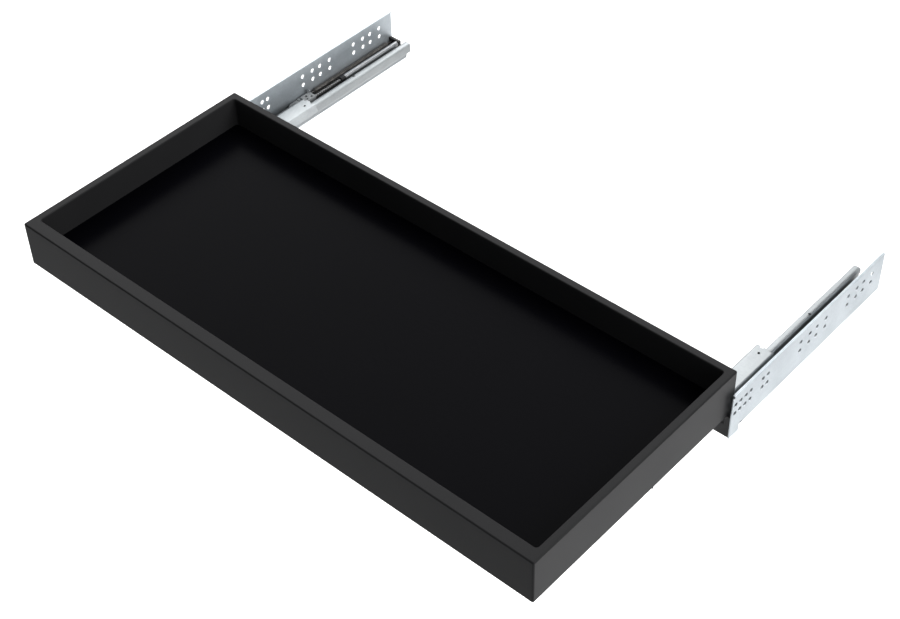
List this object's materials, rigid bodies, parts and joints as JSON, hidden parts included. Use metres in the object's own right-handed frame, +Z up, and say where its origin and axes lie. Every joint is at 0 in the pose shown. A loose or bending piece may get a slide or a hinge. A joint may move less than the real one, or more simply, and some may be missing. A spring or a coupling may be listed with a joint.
{
  "type": "pull-out tray on undermount drawer slides",
  "caption": "Shallow black pull-out tray carried by a left and a right full-extension undermount drawer slide with soft-close units, shown pulled out.",
  "frame": {"origin": "mid-point between the two slides, at their front ends, level with their undersides", "axes": "+X across the cabinet to the right, +Y to the cabinet's back, the way the tray closes, +Z up"},
  "size_m": [0.77, 0.623, 0.0925],
  "materials": {
    "tray_lacquer": "charcoal-black satin lacquer with a fine grain",
    "floor_lacquer": "near-black satin lacquer",
    "dowel_beech": "plain beech",
    "zinc_steel": "bluish zinc-plated sheet steel",
    "bright_zinc": "bright zinc-plated sheet steel",
    "roller_steel": "ground steel",
    "damper_steel": "smooth light-grey steel tube",
    "spring_steel": "oiled dark spring wire",
    "black_plastic": "moulded black",
    "grey_plastic": "moulded grey"
  },
  "bodies": {
    "cabinet_rails": {"left_cabinet_profile": "zinc_steel", "left_running_rail": "bright_zinc", "left_rail_rivets": "bright_zinc", "left_end_guide": "black_plastic", "left_softclose_housing": "black_plastic", "left_catch_track": "grey_plastic", "left_damper_cylinder": "damper_steel", "left_closing_spring": "spring_steel", "left_return_spring": "spring_steel", "right_cabinet_profile": "zinc_steel", "right_running_rail": "bright_zinc", "right_rail_rivets": "bright_zinc", "right_end_guide": "black_plastic", "right_softclose_housing": "black_plastic", "right_catch_track": "grey_plastic", "right_damper_cylinder": "damper_steel", "right_closing_spring": "spring_steel", "right_return_spring": "spring_steel"},
    "tray": {"front_board": "tray_lacquer", "back_board": "tray_lacquer", "left_side_board": "tray_lacquer", "right_side_board": "tray_lacquer", "bottom_panel": "floor_lacquer", "joint_dowels": "dowel_beech", "left_drawer_profile": "bright_zinc", "left_actuator": "black_plastic", "left_locking_clip": "black_plastic", "left_tray_screws": "bright_zinc", "right_drawer_profile": "bright_zinc", "right_actuator": "black_plastic", "right_locking_clip": "black_plastic", "right_tray_screws": "bright_zinc"},
    "left_middle": {"left_middle_profile": "bright_zinc"},
    "left_lower_cage": {"left_lower_carriage": "black_plastic", "left_lower_rollers": "roller_steel"},
    "left_upper_cage": {"left_upper_carriage": "black_plastic", "left_upper_rollers": "roller_steel"},
    "left_catch": {"left_catch_slider": "grey_plastic", "left_damper_rod": "damper_steel"},
    "left_lever": {"left_release_lever": "grey_plastic"},
    "right_middle": {"right_middle_profile": "bright_zinc"},
    "right_lower_cage": {"right_lower_carriage": "black_plastic", "right_lower_rollers": "roller_steel"},
    "right_upper_cage": {"right_upper_carriage": "black_plastic", "right_upper_rollers": "roller_steel"},
    "right_catch": {"right_catch_slider": "grey_plastic", "right_damper_rod": "damper_steel"},
    "right_lever": {"right_release_lever": "grey_plastic"}
  },
  "joints": [
    {"name": "tray_slide", "type": "slide", "parent": "cabinet_rails", "child": "tray", "axis": [0, 1, 0], "range_m": [0, 0.28]},
    {"name": "left_middle_slide", "type": "slide", "parent": "cabinet_rails", "child": "left_middle", "axis": [0, 1, 0], "range_m": [0, 0.14]},
    {"name": "left_lower_cage_slide", "type": "slide", "parent": "cabinet_rails", "child": "left_lower_cage", "axis": [0, 1, 0], "range_m": [0, 0.07]},
    {"name": "left_upper_cage_slide", "type": "slide", "parent": "cabinet_rails", "child": "left_upper_cage", "axis": [0, 1, 0], "range_m": [0, 0.21]},
    {"name": "left_catch_slide", "type": "slide", "parent": "cabinet_rails", "child": "left_catch", "axis": [0, 1, 0], "range_m": [0, 0.032], "deforming": ["left_closing_spring", "left_return_spring"]},
    {"name": "left_lever_pivot", "type": "hinge", "parent": "tray", "child": "left_lever", "pos_m": [-0.319, -0.2653, 0.034], "axis": [0, 0, 1], "range_deg": [0, 14], "stiffness_Nm_per_rad": 0.05},
    {"name": "right_middle_slide", "type": "slide", "parent": "cabinet_rails", "child": "right_middle", "axis": [0, 1, 0], "range_m": [0, 0.14]},
    {"name": "right_lower_cage_slide", "type": "slide", "parent": "cabinet_rails", "child": "right_lower_cage", "axis": [0, 1, 0], "range_m": [0, 0.07]},
    {"name": "right_upper_cage_slide", "type": "slide", "parent": "cabinet_rails", "child": "right_upper_cage", "axis": [0, 1, 0], "range_m": [0, 0.21]},
    {"name": "right_catch_slide", "type": "slide", "parent": "cabinet_rails", "child": "right_catch", "axis": [0, 1, 0], "range_m": [0, 0.032], "deforming": ["right_closing_spring", "right_return_spring"]},
    {"name": "right_lever_pivot", "type": "hinge", "parent": "tray", "child": "right_lever", "pos_m": [0.319, -0.2653, 0.034], "axis": [0, 0, -1], "range_deg": [0, 14], "stiffness_Nm_per_rad": 0.05}
  ],
  "couplings": [
    {"joint": "left_middle_slide", "follows": "tray_slide", "ratio": 0.5},
    {"joint": "left_lower_cage_slide", "follows": "tray_slide", "ratio": 0.25},
    {"joint": "left_upper_cage_slide", "follows": "tray_slide", "ratio": 0.75},
    {"joint": "right_middle_slide", "follows": "tray_slide", "ratio": 0.5},
    {"joint": "right_lower_cage_slide", "follows": "tray_slide", "ratio": 0.25},
    {"joint": "right_upper_cage_slide", "follows": "tray_slide", "ratio": 0.75}
  ]
}
